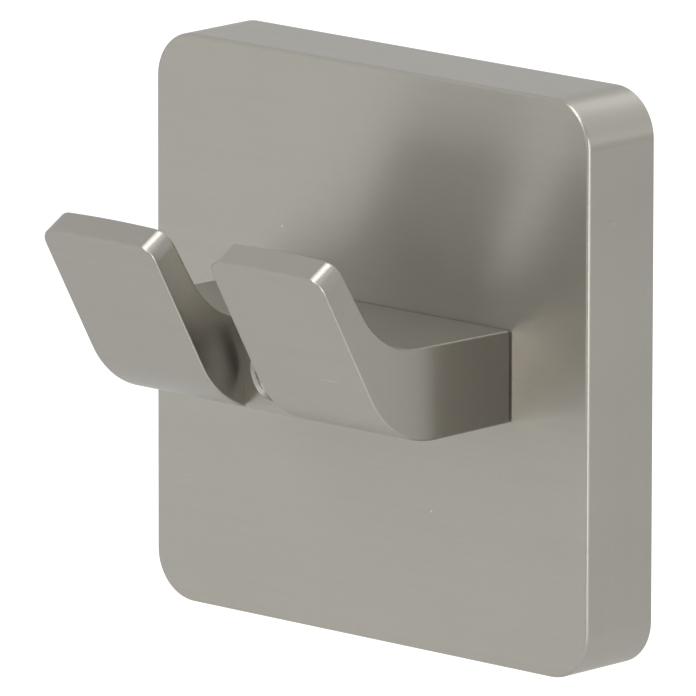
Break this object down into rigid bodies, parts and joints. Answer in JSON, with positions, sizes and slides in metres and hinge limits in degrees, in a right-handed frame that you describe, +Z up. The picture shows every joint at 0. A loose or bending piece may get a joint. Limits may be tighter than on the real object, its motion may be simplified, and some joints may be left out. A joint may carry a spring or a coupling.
{
  "type": "double towel hook",
  "caption": "Wall hook for towels: square cover plate with rounded corners and a forked hook with upturned prongs, fixed by a hidden wall bracket.",
  "frame": {"origin": "centre of the plate's back, on the wall", "axes": "+Y into the wall, -Y out towards the user, +Z up, +X to the right seen from the front"},
  "size_m": [0.055, 0.0354, 0.055],
  "materials": {
    "plate_metal": "fine horizontal brushing",
    "hook_metal": "satin, softly brushed",
    "bracket_metal": "zinc plated sheet",
    "screw_metal": "stainless, turned"
  },
  "bodies": {
    "root": {"cover_plate": "plate_metal", "double_hook": "hook_metal", "hook_screw": "screw_metal", "wall_bracket": "bracket_metal", "set_screw": "screw_metal"}
  },
  "joints": []
}
